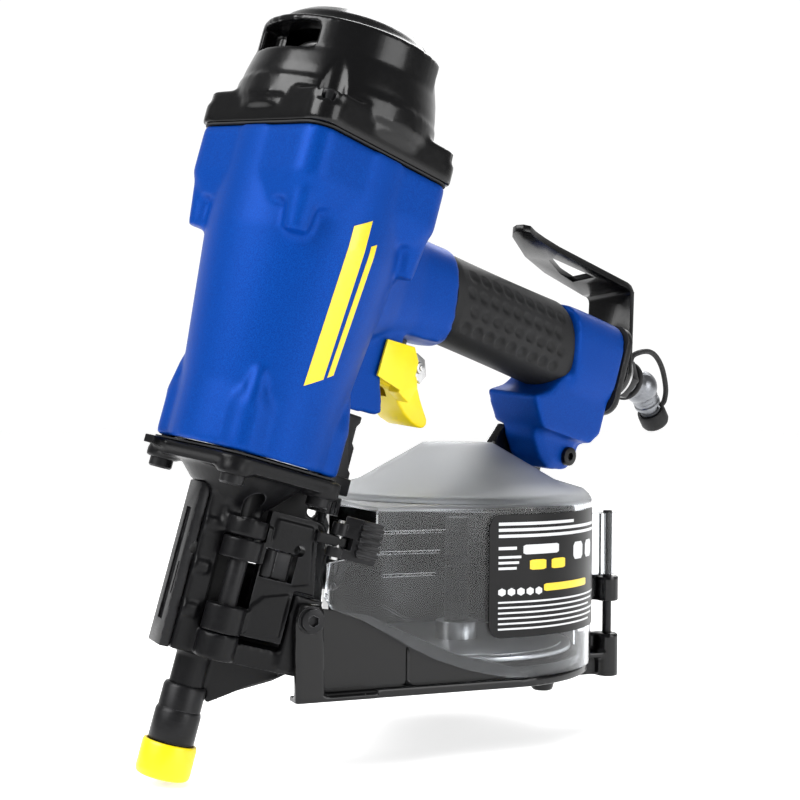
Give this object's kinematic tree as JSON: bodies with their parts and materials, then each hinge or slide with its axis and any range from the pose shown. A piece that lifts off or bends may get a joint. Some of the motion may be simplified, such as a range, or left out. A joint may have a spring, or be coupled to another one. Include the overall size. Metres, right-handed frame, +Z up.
{
  "type": "coil nailer",
  "caption": "Pneumatic coil nailer with cast body, domed cap, rubber grip, swinging clear magazine cover, hinged nose door, contact foot, trigger, hanging hook and air plug.",
  "frame": {"origin": "centre of the contact face at the bottom of the nose tip, on the drive axis", "axes": "+Z up the drive axis to the cap, +X back along the handle, +Y to the user's right"},
  "size_m": [0.2896, 0.1211, 0.293],
  "materials": {
    "blue_paint": "satin metallic enamel on cast magnesium",
    "grip_rubber": "matt moulded rubber",
    "seal_rubber": "matt rubber",
    "black_enamel": "gloss black enamel",
    "black_cast": "satin black coated casting",
    "black_steel": "black oxide",
    "yellow_plastic": "moulded, slightly glossy",
    "bright_steel": "machined",
    "bright_alloy": "machined",
    "clear_plastic": "clear polycarbonate, frosted top"
  },
  "bodies": {
    "housing": {"main_housing": "blue_paint", "grip_sleeve": "grip_rubber", "cap_gasket": "seal_rubber", "top_cap": "black_enamel", "cap_bolt_1": "black_steel", "cap_bolt_2": "black_steel", "cap_bolt_3": "black_steel", "cap_bolt_4": "black_steel", "head_valve_spring": "bright_steel", "cylinder_sleeve": "bright_alloy", "cylinder_seal": "seal_rubber", "bumper": "seal_rubber", "nose_gasket": "seal_rubber", "nose_casting": "black_cast", "nose_bolt_1": "black_steel", "nose_bolt_2": "black_steel", "nose_bolt_3": "black_steel", "nose_bolt_4": "black_steel", "front_plate": "black_steel", "contact_spring": "bright_steel", "door_hinge_pin": "black_steel", "feed_cylinder": "black_cast", "feed_cap": "black_steel", "feed_spring": "bright_steel", "magazine_base": "black_enamel", "magazine_screw": "bright_steel", "magazine_bracket": "black_enamel", "bracket_bolt": "black_steel", "cover_hinge_pin": "bright_steel", "nail_post": "seal_rubber", "trigger_pin": "bright_steel", "trigger_valve_body": "black_steel", "end_plate": "black_steel", "end_gasket": "seal_rubber", "hook_spring_washer": "black_steel", "hook_rear_washer": "bright_steel", "inlet_bushing": "black_steel"},
    "head_valve": {"head_valve": "yellow_plastic"},
    "piston": {"drive_piston": "bright_alloy", "driver_blade": "bright_steel"},
    "contact_foot": {"contact_foot": "black_steel", "no_mar_tip": "yellow_plastic"},
    "depth_wheel": {"depth_wheel": "black_steel"},
    "contact_link": {"contact_link": "black_steel"},
    "trigger": {"trigger": "yellow_plastic", "arm_pin": "bright_steel"},
    "trigger_arm": {"trigger_arm": "bright_steel"},
    "valve_stem": {"valve_stem": "bright_steel"},
    "nose_door": {"nose_door": "black_cast", "latch_pin": "bright_steel"},
    "door_latch": {"door_latch": "black_steel"},
    "check_pawl": {"check_pawl": "bright_steel"},
    "feed_piston": {"feed_piston": "bright_steel"},
    "feed_pawl": {"feed_pawl": "bright_steel"},
    "magazine_cover": {"magazine_cover": "clear_plastic"},
    "nail_platform": {"nail_platform": "bright_steel"},
    "hook": {"hanging_hook": "black_enamel"},
    "air_plug": {"air_plug": "bright_steel", "dust_cap": "grip_rubber", "dust_cap_tether": "grip_rubber"}
  },
  "joints": [
    {"name": "contact_press", "type": "slide", "parent": "housing", "child": "contact_foot", "axis": [0, 0, 1], "range_m": [0, 0.012], "stiffness_N_per_m": 600, "springref_m": -0.01, "deforming": ["contact_spring"]},
    {"name": "depth_turn", "type": "hinge", "parent": "contact_foot", "child": "depth_wheel", "pos_m": [0.04035, -0.00439, 0.11], "axis": [0, 0, 1], "range_deg": [-360, 360]},
    {"name": "link_adjust", "type": "slide", "parent": "contact_foot", "child": "contact_link", "axis": [0, 0, 1], "range_m": [-0.001, 0.001]},
    {"name": "trigger_pull", "type": "hinge", "parent": "housing", "child": "trigger", "pos_m": [0.046, 0, 0.172], "axis": [0, -1, 0], "range_deg": [0, 12], "stiffness_Nm_per_rad": 0.6, "springref_deg": -17.19},
    {"name": "trigger_arm_rock", "type": "hinge", "parent": "trigger", "child": "trigger_arm", "pos_m": [0.0635, 0, 0.17], "axis": [0, 1, 0], "range_deg": [0, 8], "stiffness_Nm_per_rad": 0.1, "springref_deg": -17.19},
    {"name": "valve_lift", "type": "slide", "parent": "housing", "child": "valve_stem", "axis": [0, 0, 1], "range_m": [0, 0.0036]},
    {"name": "piston_drive", "type": "slide", "parent": "housing", "child": "piston", "axis": [0, 0, -1], "range_m": [0, 0.08]},
    {"name": "head_valve_lift", "type": "slide", "parent": "housing", "child": "head_valve", "axis": [0, 0, 1], "range_m": [0, 0.005], "stiffness_N_per_m": 2000, "springref_m": -0.01, "deforming": ["head_valve_spring"]},
    {"name": "feed_stroke", "type": "slide", "parent": "housing", "child": "feed_piston", "axis": [0.9252, -0.3795, 0], "range_m": [0, 0.006], "stiffness_N_per_m": 1200, "springref_m": -0.008, "deforming": ["feed_spring"]},
    {"name": "feed_pawl_tilt", "type": "hinge", "parent": "feed_piston", "child": "feed_pawl", "pos_m": [0.02066, 0.00558, 0.088], "axis": [0, 0, 1], "range_deg": [-12, 0], "stiffness_Nm_per_rad": 0.05, "springref_deg": 17.19},
    {"name": "door_swing", "type": "hinge", "parent": "housing", "child": "nose_door", "pos_m": [-0.00254, -0.01409, 0.075], "axis": [0, 0, -1], "range_deg": [0, 100]},
    {"name": "latch_turn", "type": "hinge", "parent": "nose_door", "child": "door_latch", "pos_m": [0.02971, -0.0285, 0.099], "axis": [0, 0, -1], "range_deg": [0, 40], "stiffness_Nm_per_rad": 0.05, "springref_deg": -22.92},
    {"name": "check_pawl_tilt", "type": "hinge", "parent": "nose_door", "child": "check_pawl", "pos_m": [0.00963, -0.01605, 0.085], "axis": [0, 0, -1], "range_deg": [0, 10], "stiffness_Nm_per_rad": 0.05, "springref_deg": -17.19},
    {"name": "cover_swing", "type": "hinge", "parent": "housing", "child": "magazine_cover", "pos_m": [0.18262, -0.03599, 0.12812], "axis": [-0.2395, 0.0982, 0.9659], "range_deg": [0, 85]},
    {"name": "platform_height", "type": "slide", "parent": "housing", "child": "nail_platform", "axis": [-0.2395, 0.0982, 0.9659], "range_m": [0, 0.02]},
    {"name": "hook_swivel", "type": "hinge", "parent": "housing", "child": "hook", "pos_m": [0.2, 0, 0.207], "axis": [1, 0, 0], "range_deg": [-110, 130]},
    {"name": "plug_swivel", "type": "hinge", "parent": "housing", "child": "air_plug", "pos_m": [0.22, 0, 0.207], "axis": [1, 0, 0], "continuous": true}
  ],
  "couplings": [
    {"joint": "depth_turn", "follows": "link_adjust", "rad_per_m": 6283.2},
    {"joint": "valve_lift", "follows": "trigger_pull", "m_per_rad": 0.0165}
  ]
}
